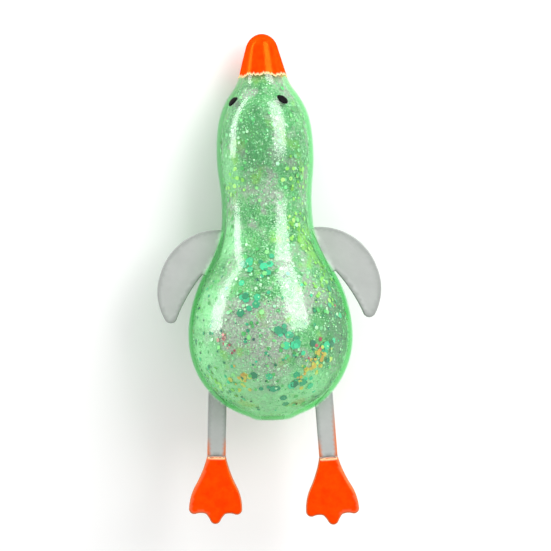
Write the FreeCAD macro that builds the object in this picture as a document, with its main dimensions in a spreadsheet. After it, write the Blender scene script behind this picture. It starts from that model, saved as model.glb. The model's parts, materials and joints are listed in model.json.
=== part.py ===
import FreeCAD, Part
import Sketcher
import math
import os

# Soft, clear squeeze duck filled with liquid and glitter, lying on its back.
#
# Every piece is drawn in the duck's own frame and then laid down as a whole:
#   own X: towards the duck's left side
#   own Y: along the body, from the feet to the tip of the beak
#   own Z: out of the belly and the face
# The duck's own origin is the centre of the round bulb. On its back it touches the table with the
# bulb and with the back of the head, so the head end is tilted down by the lying angle.
# Left and right are the duck's own.

LEFT = 1
RIGHT = -1
SIDES = {"left": LEFT, "right": RIGHT}

# An edge that bulges to the left of the way the outline is followed, or to the right of it.
BULGE_LEFT = 1
BULGE_RIGHT = -1

NO_DISTANCE = 1e-9
FILLET_REST = 0.05
GOLDEN_ANGLE = 180.0 * (3.0 - math.sqrt(5.0))
TABLE_SIZE = 400.0
TABLE_DEPTH = 50.0
HEXAGON = 6

X_AXIS = FreeCAD.Vector(1, 0, 0)
Y_AXIS = FreeCAD.Vector(0, 1, 0)
Z_AXIS = FreeCAD.Vector(0, 0, 1)

DIMENSIONS = {
    # bulb and lower neck: "out" is the distance from the long axis, "along" is along it
    "bulb_radius": 28.5,
    "flank_round": 46.0,
    "shoulder_out": 21.0,
    "shoulder_along": 25.15,
    "shoulder_slope": 33.15,
    "throat_round": 32.6,
    "throat_foot_out": 15.9,
    "wall": 2.0,
    "gel_gap": 0.05,
    # bend of the neck: a ball on the head skin in a socket in the body skin
    "neck_along": 46.0,
    "rim_half_gap": 4.6,
    "ball_radius": 15.2,
    "socket_radius": 15.45,
    "rim_out": 15.74,
    # upper neck, head and beak
    "collar_out": 15.81,
    "nape_out": 16.25,
    "nape_along": 55.0,
    "nape_slope": 7.6,
    "nape_round": 68.0,
    "cheek_out": 16.85,
    "cheek_along": 64.0,
    "temple_out": 16.21,
    "temple_along": 73.0,
    "temple_slope": 8.1,
    "temple_round": 64.0,
    "brow_out": 11.1,
    "brow_along": 85.0,
    "brow_slope": 38.0,
    "brow_round": 25.3,
    "beak_root_out": 8.1,
    "beak_root_along": 91.0,
    "beak_root_round": 16.8,
    "beak_slope": 15.0,
    "beak_tip_round": 5.694,
    "beak_tip_centre": 99.23,
    "beak_coat": 0.24,
    "cavity_top": 87.5,
    # eye dots
    "eye_along": 81.5,
    "eye_out": 13.4,
    "eye_slope": 28.5,
    "eye_half_length": 2.2,
    "eye_half_width": 1.5,
    "eye_height": 0.55,
    "eye_sunk": 0.15,
    "eye_slant": 39.0,
    "face_turn": -11.0,
    "eye_spread": 41.0,
    # filling hole at the bulb's base and the plug that closes it
    "hole_radius": 4.0,
    "stem_radius": 3.95,
    "patch_radius": 11.0,
    "patch_flat_radius": 8.0,
    "patch_height": 0.1,
    # wing, in a frame at the middle of its root: X outwards, Y up along the root
    "wing_thick": 2.5,
    "wing_root_across": 20.9,
    "wing_root_along": 30.5,
    "wing_root_turn": 23.35,
    "wing_root_half": 8.35,
    "wing_crest_out": 12.35,
    "wing_crest_drop": 13.0,
    "wing_back_round": 21.0,
    "wing_heel_out": 5.3,
    "wing_heel_drop": 27.4,
    "wing_heel_round": 19.0,
    "wing_toe_out": 1.3,
    "wing_toe_drop": 26.5,
    "wing_tip_round": 2.34,
    "wing_front_round": 56.0,
    "wing_flange_depth": 3.2,
    # leg and foot, in a frame at the hip: Y up towards the bulb, so "drop" is down the leg
    "strap_half": 3.2,
    "strap_thick": 3.0,
    "left_hip_across": 18.0,
    "right_hip_across": 19.4,
    "left_hip_drop": 27.6,
    "right_hip_drop": 26.1,
    "splay": 2.7,
    "ankle_drop": 16.6,
    "flange_inner_rise": 4.4,
    "flange_outer_rise": 10.2,
    "flare_out": 4.4,
    "flare_drop": 17.9,
    "side_out": 8.2,
    "side_drop": 27.8,
    "side_round": 12.0,
    "side_toe_out": 9.3,
    "side_toe_drop": 32.0,
    "side_toe_round": 1.9,
    "toe_end_out": 7.7,
    "toe_end_drop": 34.9,
    "web_round": 6.6,
    "web_out": 2.9,
    "middle_toe_out": 1.3,
    "middle_toe_drop": 37.1,
    "middle_toe_round": 1.46,
    "foot_end_drop": 37.9,
    "foot_coat": 0.25,
    "foot_coat_inset": 0.5,
    "foot_coat_drop": 17.2,
    "hinge_gap": 0.2,
    # large glitter flakes, each colour on a sphere of its own
    "flake_radius": 1.2,
    "flake_thick": 0.2,
    "bulb_green_count": 16,
    "bulb_gold_count": 9,
    "bulb_pink_count": 9,
    "head_green_count": 8,
    "bulb_green_shell": 24.3,
    "bulb_gold_shell": 22.0,
    "bulb_pink_shell": 19.5,
    "head_green_shell": 11.5,
    "bulb_shell_along": 0.0,
    "head_shell_along": 64.0,
    # lying on the back, with the soft skin pressed flat where it rests
    "lying_angle": 9.8,
    "flat_depth": 0.8,
}


def make_sheet(doc):
    """Write each driving dimension into a cell of its own, with its name as the alias."""
    sheet = doc.addObject("Spreadsheet::Sheet", "Dims")
    for row, (alias, value) in enumerate(DIMENSIONS.items(), start=1):
        sheet.set("A%d" % row, alias)
        sheet.set("B%d" % row, str(value))
        sheet.setAlias("B%d" % row, alias)
    doc.recompute()
    return sheet


def value_of(sheet, expression):
    """The number that an expression gives."""
    result = sheet.evalExpression(expression)
    return float(getattr(result, "Value", result))


# ---------------------------------------------------------------- outlines


def corner(name, across, along, bulge=None, radius=None):
    """A corner of an outline, and the edge from it to the next one: straight, or an arc."""
    return {"name": name, "across": across, "along": along, "bulge": bulge, "radius": radius}


def dome_radius(half_width, rise):
    """The radius of a dome centred on the long axis, from its half width and its rise."""
    return "((" + half_width + ")^2 + (" + rise + ")^2) / (2 * (" + rise + "))"


def origin_plane(body, role):
    """One of a body's own origin planes."""
    for feature in body.Origin.OriginFeatures:
        if feature.Role == role:
            return feature
    raise ValueError("no origin plane " + role)


def arc_middle(start, end, radius, bulge):
    """The middle point of the arc of this radius from start to end."""
    chord = end - start
    half = chord.Length / 2.0
    rise = radius - math.sqrt(radius * radius - half * half)
    left = FreeCAD.Vector(-chord.y, chord.x, 0.0).normalize()
    return (start + end) * 0.5 + left * (bulge * rise)


def hold_point(sheet, sketch, geometry, position, place):
    """Hold one end of an edge at its corner, with one expression across and one along."""
    holds = (("DistanceX", -2, place["across"], "_across"), ("DistanceY", -1, place["along"], "_along"))
    for kind, axis, expression, word in holds:
        amount = value_of(sheet, expression)
        if abs(amount) < NO_DISTANCE:
            sketch.addConstraint(Sketcher.Constraint("PointOnObject", geometry, position, axis))
            continue
        index = sketch.addConstraint(Sketcher.Constraint(kind, -1, 1, geometry, position, amount))
        name = place["name"] + word
        sketch.renameConstraint(index, name)
        sketch.setExpression("Constraints." + name, expression)


def draw_outline(sheet, sketch, corners):
    """Draw a closed outline whose corners and arc radii follow the sheet."""
    points = []
    for place in corners:
        across = value_of(sheet, place["across"])
        along = value_of(sheet, place["along"])
        points.append(FreeCAD.Vector(across, along, 0.0))
    ends = []
    for number, place in enumerate(corners):
        start = points[number]
        end = points[(number + 1) % len(points)]
        if place["radius"] is None:
            geometry = sketch.addGeometry(Part.LineSegment(start, end))
            ends.append((geometry, 1, 2))
            continue
        radius = value_of(sheet, place["radius"])
        middle = arc_middle(start, end, radius, place["bulge"])
        geometry = sketch.addGeometry(Part.Arc(start, middle, end))
        from_first = (sketch.getPoint(geometry, 1) - start).Length
        from_second = (sketch.getPoint(geometry, 2) - start).Length
        ends.append((geometry, 1, 2) if from_first < from_second else (geometry, 2, 1))
        index = sketch.addConstraint(Sketcher.Constraint("Radius", geometry, radius))
        sketch.renameConstraint(index, place["name"] + "_radius")
        sketch.setExpression("Constraints." + place["name"] + "_radius", place["radius"])
    for number, place in enumerate(corners):
        geometry, first, last = ends[number]
        following, following_first, following_last = ends[(number + 1) % len(ends)]
        sketch.addConstraint(Sketcher.Constraint("Coincident", geometry, last, following, following_first))
        hold_point(sheet, sketch, geometry, first, place)


def new_body_with_outline(doc, sheet, label, corners):
    """A body with one sketch on its own XY plane."""
    body = doc.addObject("PartDesign::Body", label)
    body.Label = label
    sketch = body.newObject("Sketcher::SketchObject", label + "_outline")
    sketch.AttachmentSupport = [(origin_plane(body, "XY_Plane"), "")]
    sketch.MapMode = "FlatFace"
    doc.recompute()
    draw_outline(sheet, sketch, corners)
    doc.recompute()
    return body, sketch


def turned_body(doc, sheet, label, corners):
    """A body turned round the long axis from its half outline."""
    body, sketch = new_body_with_outline(doc, sheet, label, corners)
    turn = body.newObject("PartDesign::Revolution", label + "_turn")
    turn.Profile = sketch
    turn.ReferenceAxis = (sketch, ["V_Axis"])
    turn.Angle = 360.0
    doc.recompute()
    return body


def plate_body(doc, sheet, label, corners, thickness, rests_on_front=False):
    """A flat plate of an outline: about the middle plane, or standing on the front of the foot."""
    body, sketch = new_body_with_outline(doc, sheet, label, corners)
    pad = body.newObject("PartDesign::Pad", label + "_pad")
    pad.Profile = sketch
    pad.setExpression("Length", thickness)
    if rests_on_front:
        sketch.setExpression(".AttachmentOffset.Base.z", "Dims.strap_thick / 2")
    else:
        pad.SideType = "Symmetric"
    doc.recompute()
    return body


def round_root(doc, body, thickness, is_root_edge):
    """Round the two long edges of a plate's root, so that it turns clear of its flange."""
    pad = body.Tip
    names = []
    for number, edge in enumerate(pad.Shape.Edges, start=1):
        if is_root_edge(edge.CenterOfMass):
            names.append("Edge%d" % number)
    fillet = body.newObject("PartDesign::Fillet", body.Label + "_root")
    fillet.Base = (pad, names)
    fillet.setExpression("Radius", thickness + " / 2 - %s" % FILLET_REST)
    doc.recompute()


# ---------------------------------------------------------------- frames


def lying_placement(sheet):
    """From the duck's own frame to the table: tilted, resting at height 0, centred along the table."""
    angle = value_of(sheet, "Dims.lying_angle")
    beak_end = value_of(sheet, "Dims.beak_tip_centre * cos(Dims.lying_angle) + Dims.beak_tip_round")
    foot_end = value_of(sheet, "(Dims.left_hip_drop + Dims.foot_end_drop) * cos(Dims.lying_angle)"
                               " + Dims.strap_thick / 2 * sin(Dims.lying_angle)")
    height = value_of(sheet, "Dims.bulb_radius - Dims.flat_depth")
    base = FreeCAD.Vector(0.0, (foot_end - beak_end) / 2.0, height)
    return FreeCAD.Placement(base, FreeCAD.Rotation(X_AXIS, -angle))


def wing_placement(sheet, side):
    """The frame of a wing's root. The right wing is the left one turned over."""
    across = side * value_of(sheet, "Dims.wing_root_across")
    along = value_of(sheet, "Dims.wing_root_along")
    turn = value_of(sheet, "Dims.wing_root_turn")
    base = FreeCAD.Vector(across, along, 0.0)
    if side == LEFT:
        return FreeCAD.Placement(base, FreeCAD.Rotation(Z_AXIS, turn))
    rotation = FreeCAD.Rotation(Z_AXIS, 180.0 - turn) * FreeCAD.Rotation(X_AXIS, 180.0)
    return FreeCAD.Placement(base, rotation)


def leg_placement(sheet, word, side):
    """The frame of a leg at its hip, turned outwards by the leg's splay."""
    across = side * value_of(sheet, "Dims." + word + "_hip_across")
    drop = value_of(sheet, "Dims." + word + "_hip_drop")
    splay = side * value_of(sheet, "Dims.splay")
    return FreeCAD.Placement(FreeCAD.Vector(across, -drop, 0.0), FreeCAD.Rotation(Z_AXIS, splay))


# ---------------------------------------------------------------- body sac


def body_skin_corners():
    """Half section of the bulb and lower neck: outer surface, rim with its socket, inner surface."""
    rim_along = "Dims.neck_along - Dims.rim_half_gap"
    inner_throat_out = "Dims.throat_foot_out - Dims.wall"
    return [
        corner("hole_outside", "Dims.hole_radius", "-sqrt(Dims.bulb_radius^2 - Dims.hole_radius^2)",
               BULGE_RIGHT, "Dims.bulb_radius"),
        corner("equator", "Dims.bulb_radius", "0", BULGE_RIGHT, "Dims.flank_round"),
        corner("shoulder", "Dims.shoulder_out", "Dims.shoulder_along", BULGE_LEFT, "Dims.throat_round"),
        corner("rim", "Dims.rim_out", rim_along),
        corner("socket", "sqrt(Dims.socket_radius^2 - Dims.rim_half_gap^2)", rim_along,
               BULGE_LEFT, "Dims.socket_radius"),
        corner("inner_throat", inner_throat_out,
               "Dims.neck_along - sqrt(Dims.socket_radius^2 - (" + inner_throat_out + ")^2)",
               BULGE_RIGHT, "Dims.throat_round + Dims.wall"),
        corner("inner_shoulder", "Dims.shoulder_out - Dims.wall * cos(Dims.shoulder_slope)",
               "Dims.shoulder_along - Dims.wall * sin(Dims.shoulder_slope)",
               BULGE_LEFT, "Dims.flank_round - Dims.wall"),
        corner("inner_equator", "Dims.bulb_radius - Dims.wall", "0",
               BULGE_LEFT, "Dims.bulb_radius - Dims.wall"),
        corner("hole_inside", "Dims.hole_radius",
               "-sqrt((Dims.bulb_radius - Dims.wall)^2 - Dims.hole_radius^2)"),
    ]


def body_gel_corners():
    """Half section of the liquid in the bulb, hollowed at its top by the neck's ball."""
    inset = "(Dims.wall + Dims.gel_gap)"
    throat_out = "Dims.throat_foot_out - " + inset
    top_radius = "(Dims.socket_radius + Dims.gel_gap)"
    return [
        corner("bottom", "0", "-(Dims.bulb_radius - " + inset + ")",
               BULGE_RIGHT, "Dims.bulb_radius - " + inset),
        corner("equator", "Dims.bulb_radius - " + inset, "0",
               BULGE_RIGHT, "Dims.flank_round - " + inset),
        corner("shoulder", "Dims.shoulder_out - " + inset + " * cos(Dims.shoulder_slope)",
               "Dims.shoulder_along - " + inset + " * sin(Dims.shoulder_slope)",
               BULGE_LEFT, "Dims.throat_round + " + inset),
        corner("throat", throat_out,
               "Dims.neck_along - sqrt(" + top_radius + "^2 - (" + throat_out + ")^2)",
               BULGE_LEFT, top_radius),
        corner("top", "0", "Dims.neck_along - " + top_radius),
    ]


def wing_flange_corners():
    """The short root of a wing that is moulded on the bulb's wall."""
    end = "-(Dims.wing_thick / 2 + Dims.hinge_gap)"
    return [
        corner("outer_bottom", end, "-Dims.wing_root_half"),
        corner("outer_top", end, "Dims.wing_root_half"),
        corner("inner_top", "-Dims.wing_flange_depth", "Dims.wing_root_half"),
        corner("inner_bottom", "-Dims.wing_flange_depth", "-Dims.wing_root_half"),
    ]


def leg_flange_corners(side):
    """The short root of a leg that is moulded on the bulb's wall. It is longer on the outer side."""
    outer = "" if side == LEFT else "-"
    inner = "-" if side == LEFT else ""
    end = "Dims.strap_thick / 2 + Dims.hinge_gap"
    return [
        corner("inner_end", inner + "Dims.strap_half", end),
        corner("outer_end", outer + "Dims.strap_half", end),
        corner("outer_root", outer + "Dims.strap_half", "Dims.flange_outer_rise"),
        corner("inner_root", inner + "Dims.strap_half", "Dims.flange_inner_rise"),
    ]


def make_table(doc):
    """The space below the table's surface, which presses the soft skin flat where it rests."""
    table = doc.addObject("Part::Box", "below_table")
    table.Length = TABLE_SIZE
    table.Width = TABLE_SIZE
    table.Height = TABLE_DEPTH
    table.Placement.Base = FreeCAD.Vector(-TABLE_SIZE / 2.0, -TABLE_SIZE / 2.0, -TABLE_DEPTH)
    return table


def pressed_flat(doc, label, base, table):
    """A piece cut off at the table's surface."""
    cut = doc.addObject("Part::Cut", label)
    cut.Label = label
    cut.Base = base
    cut.Tool = table
    return cut


def build_body_skin(doc, sheet, lying, table):
    """The sac's bulb and lower neck, with the flanges of the wings and legs."""
    sac = turned_body(doc, sheet, "sac", body_skin_corners())
    sac.Placement = lying
    shapes = [sac]
    for word, side in SIDES.items():
        wing_root = plate_body(doc, sheet, "wing_flange_" + word, wing_flange_corners(), "Dims.wing_thick")
        wing_root.Placement = lying * wing_placement(sheet, side)
        leg_root = plate_body(doc, sheet, "leg_flange_" + word, leg_flange_corners(side),
                              "Dims.strap_thick")
        leg_root.Placement = lying * leg_placement(sheet, word, side)
        shapes += [wing_root, leg_root]
    sac_with_flanges = doc.addObject("Part::MultiFuse", "sac_with_flanges")
    sac_with_flanges.Shapes = shapes
    doc.recompute()
    return pressed_flat(doc, "body_skin", sac_with_flanges, table)


def build_fill_plug(doc, sheet, lying):
    """The plug: a stem in the filling hole, and a patch over it that tapers to a flat end."""
    patch_end = "-(Dims.bulb_radius + Dims.patch_height)"
    stem_inner_end = "-(Dims.bulb_radius - Dims.wall)"
    corners = [
        corner("inner_end", "0", stem_inner_end),
        corner("stem_inner", "Dims.stem_radius", stem_inner_end),
        corner("stem_outer", "Dims.stem_radius", "-sqrt(Dims.bulb_radius^2 - Dims.stem_radius^2)",
               BULGE_RIGHT, "Dims.bulb_radius"),
        corner("patch_edge", "Dims.patch_radius", "-sqrt(Dims.bulb_radius^2 - Dims.patch_radius^2)"),
        corner("patch_rim", "Dims.patch_flat_radius", patch_end),
        corner("patch_middle", "0", patch_end),
    ]
    plug = turned_body(doc, sheet, "fill_plug", corners)
    plug.Placement = lying
    return plug


# ---------------------------------------------------------------- head


def head_cavity_corners(inset, gap):
    """Half section of the head's inside, from its top down to the bottom of the neck's ball."""
    brow_out = "Dims.brow_out - " + inset + " * cos(Dims.brow_slope)"
    brow_along = "Dims.brow_along - " + inset + " * sin(Dims.brow_slope)"
    top_along = "Dims.cavity_top - " + gap
    return [
        corner("cavity_top", "0", top_along,
               BULGE_LEFT, dome_radius(brow_out, top_along + " - (" + brow_along + ")")),
        corner("inner_brow", brow_out, brow_along, BULGE_LEFT, "Dims.brow_round - " + inset),
        corner("inner_temple", "Dims.temple_out - " + inset + " * cos(Dims.temple_slope)",
               "Dims.temple_along - " + inset + " * sin(Dims.temple_slope)",
               BULGE_LEFT, "Dims.temple_round - " + inset),
        corner("inner_cheek", "Dims.cheek_out - " + inset, "Dims.cheek_along",
               BULGE_LEFT, "Dims.nape_round - " + inset),
        corner("inner_nape", "Dims.nape_out - " + inset + " * cos(Dims.nape_slope)",
               "Dims.nape_along + " + inset + " * sin(Dims.nape_slope)",
               BULGE_RIGHT, "Dims.nape_round + " + inset),
        corner("inner_collar", "Dims.collar_out - " + inset, "Dims.neck_along + Dims.rim_half_gap"),
        corner("inner_ball", "Dims.ball_radius - " + inset, "Dims.neck_along",
               BULGE_LEFT, "Dims.ball_radius - " + inset),
        corner("inner_bottom", "0", "Dims.neck_along - (Dims.ball_radius - " + inset + ")"),
    ]


def head_skin_corners():
    """Half section of the head's skin: the neck's ball, the head, the beak's core, the inside."""
    collar_along = "Dims.neck_along + Dims.rim_half_gap"
    core_round = "(Dims.beak_tip_round - Dims.beak_coat)"
    outside = [
        corner("ball_bottom", "0", "Dims.neck_along - Dims.ball_radius", BULGE_RIGHT, "Dims.ball_radius"),
        corner("ball_edge", "sqrt(Dims.ball_radius^2 - Dims.rim_half_gap^2)", collar_along),
        corner("collar", "Dims.collar_out", collar_along, BULGE_LEFT, "Dims.nape_round"),
        corner("nape", "Dims.nape_out", "Dims.nape_along", BULGE_RIGHT, "Dims.nape_round"),
        corner("cheek", "Dims.cheek_out", "Dims.cheek_along", BULGE_RIGHT, "Dims.temple_round"),
        corner("temple", "Dims.temple_out", "Dims.temple_along", BULGE_RIGHT, "Dims.brow_round"),
        corner("brow", "Dims.brow_out", "Dims.brow_along", BULGE_LEFT, "Dims.beak_root_round"),
        corner("beak_root", "Dims.beak_root_out", "Dims.beak_root_along"),
        corner("core_root", "Dims.beak_root_out - Dims.beak_coat", "Dims.beak_root_along"),
        corner("core_side", core_round + " * cos(Dims.beak_slope)",
               "Dims.beak_tip_centre + " + core_round + " * sin(Dims.beak_slope)",
               BULGE_RIGHT, core_round),
        corner("core_tip", "0", "Dims.beak_tip_centre + " + core_round),
    ]
    return outside + head_cavity_corners("Dims.wall", "0")


def build_head_skin(doc, sheet, lying, table):
    """The sac above the bend of the neck."""
    head = turned_body(doc, sheet, "head_sac", head_skin_corners())
    head.Placement = lying
    return pressed_flat(doc, "head_skin", head, table)


def build_beak_coat(doc, sheet, lying):
    """The layer of paint over the beak."""
    core_round = "(Dims.beak_tip_round - Dims.beak_coat)"
    corners = [
        corner("root_inside", "Dims.beak_root_out - Dims.beak_coat", "Dims.beak_root_along"),
        corner("root_outside", "Dims.beak_root_out", "Dims.beak_root_along"),
        corner("side_outside", "Dims.beak_tip_round * cos(Dims.beak_slope)",
               "Dims.beak_tip_centre + Dims.beak_tip_round * sin(Dims.beak_slope)",
               BULGE_RIGHT, "Dims.beak_tip_round"),
        corner("tip_outside", "0", "Dims.beak_tip_centre + Dims.beak_tip_round"),
        corner("tip_inside", "0", "Dims.beak_tip_centre + " + core_round, BULGE_LEFT, core_round),
        corner("side_inside", core_round + " * cos(Dims.beak_slope)",
               "Dims.beak_tip_centre + " + core_round + " * sin(Dims.beak_slope)"),
    ]
    coat = turned_body(doc, sheet, "beak_coat", corners)
    coat.Placement = lying
    return coat


def build_eye(doc, sheet, lying, head_skin, word, side):
    """A long drop of black paint, domed, with its outer end lower down the face."""
    turn = math.radians(value_of(sheet, "Dims.face_turn") + side * value_of(sheet, "Dims.eye_spread"))
    slope = math.radians(value_of(sheet, "Dims.eye_slope"))
    outwards = FreeCAD.Vector(math.sin(turn), 0.0, math.cos(turn))
    around = FreeCAD.Vector(math.cos(turn), 0.0, -math.sin(turn))
    normal = outwards * math.cos(slope) + Y_AXIS * math.sin(slope)
    slant = math.radians(value_of(sheet, "Dims.eye_slant"))
    lengthwise = around * (math.cos(slant) * side) - normal.cross(around) * math.sin(slant)
    centre = outwards * value_of(sheet, "Dims.eye_out") + Y_AXIS * value_of(sheet, "Dims.eye_along")
    centre -= normal * value_of(sheet, "Dims.eye_sunk")
    drop = doc.addObject("Part::Ellipsoid", "eye_drop_" + word)
    drop.setExpression("Radius1", "Dims.eye_height")
    drop.setExpression("Radius2", "Dims.eye_half_length")
    drop.setExpression("Radius3", "Dims.eye_half_width")
    rotation = FreeCAD.Rotation(lengthwise, normal.cross(lengthwise), normal, "ZXY")
    drop.Placement = lying * FreeCAD.Placement(centre, rotation)
    eye = doc.addObject("Part::Cut", "eye_" + word)
    eye.Label = "eye_" + word
    eye.Base = drop
    eye.Tool = head_skin
    return eye


# ---------------------------------------------------------------- wings, legs and feet


def build_wing(doc, sheet, lying, word, side):
    """A flat flap with a rounded root."""
    root = "-Dims.wing_thick / 2"
    corners = [
        corner("root_top", root, "Dims.wing_root_half", BULGE_LEFT, "Dims.wing_back_round"),
        corner("crest", "Dims.wing_crest_out", "-Dims.wing_crest_drop", BULGE_LEFT, "Dims.wing_heel_round"),
        corner("heel", "Dims.wing_heel_out", "-Dims.wing_heel_drop", BULGE_LEFT, "Dims.wing_tip_round"),
        corner("toe", "Dims.wing_toe_out", "-Dims.wing_toe_drop", BULGE_RIGHT, "Dims.wing_front_round"),
        corner("root_bottom", root, "-Dims.wing_root_half"),
    ]
    wing = plate_body(doc, sheet, "wing_" + word, corners, "Dims.wing_thick")
    root_across = value_of(sheet, root)
    round_root(doc, wing, "Dims.wing_thick",
               lambda middle: abs(middle.x - root_across) < NO_DISTANCE and abs(middle.z) > FILLET_REST)
    wing.Placement = lying * wing_placement(sheet, side)
    return wing


def build_leg(doc, sheet, lying, word, side):
    """A flat strap from the hip to the ankle, with a rounded root at the hip."""
    root = "Dims.strap_thick / 2"
    end = "-(Dims.ankle_drop - Dims.strap_thick / 2 - Dims.hinge_gap)"
    corners = [
        corner("inner_root", "-Dims.strap_half", root),
        corner("inner_end", "-Dims.strap_half", end),
        corner("outer_end", "Dims.strap_half", end),
        corner("outer_root", "Dims.strap_half", root),
    ]
    leg = plate_body(doc, sheet, "leg_" + word, corners, "Dims.strap_thick")
    root_along = value_of(sheet, root)
    round_root(doc, leg, "Dims.strap_thick",
               lambda middle: abs(middle.y - root_along) < NO_DISTANCE and abs(middle.z) > FILLET_REST)
    leg.Placement = lying * leg_placement(sheet, word, side)
    return leg


def foot_corners(top, inset):
    """A webbed foot: a flare from the strap to two side toes and a longer middle toe."""
    half = [
        ("top", "Dims.strap_half", top, None, None),
        ("flare", "Dims.flare_out - " + inset, "-Dims.flare_drop", None, None),
        ("side", "Dims.side_out - " + inset, "-Dims.side_drop", BULGE_LEFT, "Dims.side_round"),
        ("side_toe", "Dims.side_toe_out - " + inset, "-(Dims.side_toe_drop - " + inset + ")",
         BULGE_LEFT, "Dims.side_toe_round"),
        ("toe_end", "Dims.toe_end_out - " + inset, "-(Dims.toe_end_drop - " + inset + ")",
         BULGE_RIGHT, "Dims.web_round"),
        ("web", "Dims.web_out - " + inset + " / 2", "-(Dims.toe_end_drop - " + inset + ")", None, None),
        ("middle_toe", "Dims.middle_toe_out - " + inset + " / 2",
         "-(Dims.middle_toe_drop - " + inset + ")", BULGE_LEFT, "Dims.middle_toe_round"),
    ]
    corners = []
    for name, across, along, bulge, radius in half:
        corners.append(corner("outer_" + name, across, along, bulge, radius))
    for number in range(len(half) - 1, -1, -1):
        name, across, along = half[number][:3]
        bulge, radius = half[number - 1][3:] if number else (None, None)
        corners.append(corner("inner_" + name, "-(" + across + ")", along, bulge, radius))
    return corners


def build_foot(doc, sheet, lying, word, side):
    """The foot's clear web, with a rounded root at the ankle."""
    top = "-(Dims.ankle_drop - Dims.strap_thick / 2)"
    foot = plate_body(doc, sheet, "foot_" + word, foot_corners(top, "0"), "Dims.strap_thick")
    root_along = value_of(sheet, top)
    round_root(doc, foot, "Dims.strap_thick",
               lambda middle: abs(middle.y - root_along) < NO_DISTANCE and abs(middle.z) > FILLET_REST)
    foot.Placement = lying * leg_placement(sheet, word, side)
    return foot


def build_foot_coat(doc, sheet, lying, word, side):
    """The layer of paint on the front of a foot, a little short of its edges."""
    corners = foot_corners("-Dims.foot_coat_drop", "Dims.foot_coat_inset")
    coat = plate_body(doc, sheet, "foot_coat_" + word, corners, "Dims.foot_coat", rests_on_front=True)
    coat.Placement = lying * leg_placement(sheet, word, side)
    return coat


# ---------------------------------------------------------------- glitter


def build_flakes(doc, sheet, lying, chamber, colour):
    """Hexagonal flakes, spread evenly over a sphere inside the liquid, each facing outwards."""
    label = {"bulb": "body", "head": "head"}[chamber] + "_flakes_" + colour
    count = round(value_of(sheet, "Dims.%s_%s_count" % (chamber, colour)))
    radius = value_of(sheet, "Dims.%s_%s_shell" % (chamber, colour))
    middle = Y_AXIS * value_of(sheet, "Dims.%s_shell_along" % chamber)
    flakes = []
    for number in range(count):
        height = 1.0 - 2.0 * (number + 0.5) / count
        ring = math.sqrt(1.0 - height * height)
        turn = math.radians(number * GOLDEN_ANGLE)
        direction = FreeCAD.Vector(ring * math.cos(turn), height, ring * math.sin(turn))
        flake = doc.addObject("Part::Prism", "%s_%d" % (label, number))
        flake.Polygon = HEXAGON
        flake.setExpression("Circumradius", "Dims.flake_radius")
        flake.setExpression("Height", "Dims.flake_thick")
        place = FreeCAD.Placement(middle + direction * radius, FreeCAD.Rotation(Z_AXIS, direction))
        flake.Placement = lying * place
        flakes.append(flake)
    group = doc.addObject("Part::Compound", label)
    group.Label = label
    group.Links = flakes
    return group


# ---------------------------------------------------------------- whole duck


def build_parts(doc, sheet):
    """Every sub-part, in the order of the list in the record."""
    lying = lying_placement(sheet)
    table = make_table(doc)
    parts = [build_body_skin(doc, sheet, lying, table)]
    body_gel = turned_body(doc, sheet, "body_gel", body_gel_corners())
    body_gel.Placement = lying
    parts.append(body_gel)
    parts.append(build_fill_plug(doc, sheet, lying))
    for colour in ("green", "gold", "pink"):
        parts.append(build_flakes(doc, sheet, lying, "bulb", colour))
    head_skin = build_head_skin(doc, sheet, lying, table)
    parts.append(head_skin)
    gel_corners = head_cavity_corners("(Dims.wall + Dims.gel_gap)", "Dims.gel_gap")
    head_gel = turned_body(doc, sheet, "head_gel", gel_corners)
    head_gel.Placement = lying
    parts.append(head_gel)
    parts.append(build_beak_coat(doc, sheet, lying))
    parts.append(build_flakes(doc, sheet, lying, "head", "green"))
    for word, side in SIDES.items():
        parts.append(build_eye(doc, sheet, lying, head_skin, word, side))
        parts.append(build_wing(doc, sheet, lying, word, side))
        parts.append(build_leg(doc, sheet, lying, word, side))
        parts.append(build_foot(doc, sheet, lying, word, side))
        parts.append(build_foot_coat(doc, sheet, lying, word, side))
    doc.recompute()
    return parts


def check_document(doc, parts):
    """Stop on any failed feature, and on any sub-part with a missing or invalid shape."""
    for feature in doc.Objects:
        if "Invalid" in feature.State or "Error" in feature.State:
            raise RuntimeError("failed feature: " + feature.Label)
    for part in parts:
        if part.Shape.isNull() or not part.Shape.isValid():
            raise RuntimeError("bad shape: " + part.Label)


def write_parts(parts):
    """Write each sub-part to a file of its own."""
    os.makedirs("parts", exist_ok=True)
    for part in parts:
        part.Shape.exportStep("parts/" + part.Label + ".step")
        box = part.Shape.BoundBox
        print("%-20s %2d solid(s) %10.2f mm3  x %7.2f %7.2f  y %7.2f %7.2f  z %6.2f %6.2f" % (
            part.Label, len(part.Shape.Solids), part.Shape.Volume,
            box.XMin, box.XMax, box.YMin, box.YMax, box.ZMin, box.ZMax))


def main():
    doc = FreeCAD.newDocument("squeeze_duck")
    sheet = make_sheet(doc)
    parts = build_parts(doc, sheet)
    check_document(doc, parts)
    write_parts(parts)


main()
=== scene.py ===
import bisect
import json
import math
import random

import bpy
from mathutils import Matrix, Vector, noise
from mathutils.geometry import delaunay_2d_cdt


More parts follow.
